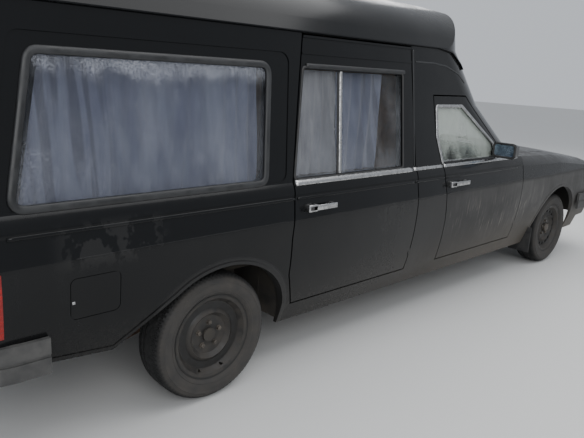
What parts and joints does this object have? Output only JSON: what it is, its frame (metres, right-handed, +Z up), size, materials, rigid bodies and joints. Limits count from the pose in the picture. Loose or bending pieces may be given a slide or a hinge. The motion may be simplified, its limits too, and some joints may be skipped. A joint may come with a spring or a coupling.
{
  "type": "long-wheelbase hearse",
  "caption": "Long hearse on a stretched saloon base, with a raised roof, curtained side windows, opening doors, bonnet and tail door, and steered rolling wheels.",
  "frame": {"origin": "on the floor below the middle of the bounding box", "axes": "+X forward, +Y to the vehicle's left, +Z up"},
  "size_m": [5.355, 2.07, 1.93],
  "materials": {
    "paint": "gloss, dusty",
    "glass": "clear",
    "underbody": "matt, dirty",
    "wheel_steel": "dusty",
    "tyre": "matt",
    "curtain": "pleated",
    "deck": "satin",
    "interior": "matt",
    "seat": "woven",
    "bumper": "weathered",
    "chrome": "bright",
    "headlamp": "ribbed",
    "amber": "ribbed",
    "red": "ribbed",
    "engine": "rough",
    "exhaust": "rusty"
  },
  "bodies": {
    "body": {"bumper_front": "bumper", "bumper_rear": "bumper", "cowl": "paint", "dashboard": "interior", "engine": "engine", "exhaust": "exhaust", "fender_left": "paint", "fender_right": "paint", "floor_pan": "underbody", "front_seats": "seat", "front_subframe": "underbody", "grille": "chrome", "headlamps": "headlamp", "load_deck": "deck", "nose_panel": "paint", "partition": "deck", "rear_axle": "underbody", "rear_panel": "paint", "roof": "paint", "side_curtains": "curtain", "side_left": "paint", "side_right": "paint", "side_windows": "glass", "tail_lamps": "red", "turn_lamps": "amber", "windscreen": "glass"},
    "front_door_left": {"front_door_left": "paint", "front_door_glass_left": "glass", "mirror_left": "paint"},
    "rear_door_left": {"rear_door_left": "paint", "rear_door_glass_left": "glass", "curtain_door_left": "curtain"},
    "knuckle_left": {"knuckle_left": "underbody"},
    "wheel_front_left": {"rim_front_left": "wheel_steel", "tyre_front_left": "tyre"},
    "wheel_rear_left": {"rim_rear_left": "wheel_steel", "tyre_rear_left": "tyre"},
    "front_door_right": {"front_door_right": "paint", "front_door_glass_right": "glass", "mirror_right": "paint"},
    "rear_door_right": {"rear_door_right": "paint", "rear_door_glass_right": "glass", "curtain_door_right": "curtain"},
    "knuckle_right": {"knuckle_right": "underbody"},
    "wheel_front_right": {"rim_front_right": "wheel_steel", "tyre_front_right": "tyre"},
    "wheel_rear_right": {"rim_rear_right": "wheel_steel", "tyre_rear_right": "tyre"},
    "tailgate": {"tailgate": "paint", "tailgate_glass": "glass"},
    "bonnet": {"bonnet": "paint"},
    "steering_wheel": {"steering_wheel": "interior"}
  },
  "joints": [
    {"name": "front_door_left_hinge", "type": "hinge", "parent": "body", "child": "front_door_left", "pos_m": [1.0745, 0.888, 0.6], "axis": [0, 0, -1], "range_deg": [0, 68]},
    {"name": "rear_door_left_hinge", "type": "hinge", "parent": "body", "child": "rear_door_left", "pos_m": [-0.2125, 0.888, 0.6], "axis": [0, 0, -1], "range_deg": [0, 68]},
    {"name": "front_door_right_hinge", "type": "hinge", "parent": "body", "child": "front_door_right", "pos_m": [1.0745, -0.888, 0.6], "axis": [0, 0, 1], "range_deg": [0, 68]},
    {"name": "rear_door_right_hinge", "type": "hinge", "parent": "body", "child": "rear_door_right", "pos_m": [-0.2125, -0.888, 0.6], "axis": [0, 0, 1], "range_deg": [0, 68]},
    {"name": "tailgate_hinge", "type": "hinge", "parent": "body", "child": "tailgate", "pos_m": [-2.4775, 0, 1.613], "axis": [0, 1, 0], "range_deg": [0, 86]},
    {"name": "bonnet_hinge", "type": "hinge", "parent": "body", "child": "bonnet", "pos_m": [1.2725, 0, 0.966], "axis": [0, -1, 0], "range_deg": [0, 55]},
    {"name": "steer_left", "type": "hinge", "parent": "body", "child": "knuckle_left", "pos_m": [1.8275, 0.64, 0.29], "axis": [0, 0, 1], "range_deg": [-33, 33]},
    {"name": "steer_right", "type": "hinge", "parent": "body", "child": "knuckle_right", "pos_m": [1.8275, -0.64, 0.29], "axis": [0, 0, 1], "range_deg": [-33, 33]},
    {"name": "steering_wheel_turn", "type": "hinge", "parent": "body", "child": "steering_wheel", "pos_m": [0.7375, 0.36, 0.85], "axis": [-0.9061, 0, 0.423], "range_deg": [-462, 462]},
    {"name": "spin_front_left", "type": "hinge", "parent": "knuckle_left", "child": "wheel_front_left", "pos_m": [1.8275, 0.74, 0.29], "axis": [0, 1, 0], "continuous": true},
    {"name": "spin_rear_left", "type": "hinge", "parent": "body", "child": "wheel_rear_left", "pos_m": [-1.5975, 0.772, 0.29], "axis": [0, 1, 0], "continuous": true},
    {"name": "spin_front_right", "type": "hinge", "parent": "knuckle_right", "child": "wheel_front_right", "pos_m": [1.8275, -0.74, 0.29], "axis": [0, 1, 0], "continuous": true},
    {"name": "spin_rear_right", "type": "hinge", "parent": "body", "child": "wheel_rear_right", "pos_m": [-1.5975, -0.772, 0.29], "axis": [0, 1, 0], "continuous": true}
  ],
  "couplings": [
    {"joint": "steer_right", "follows": "steer_left", "ratio": 1},
    {"joint": "steering_wheel_turn", "follows": "steer_left", "ratio": 14}
  ]
}
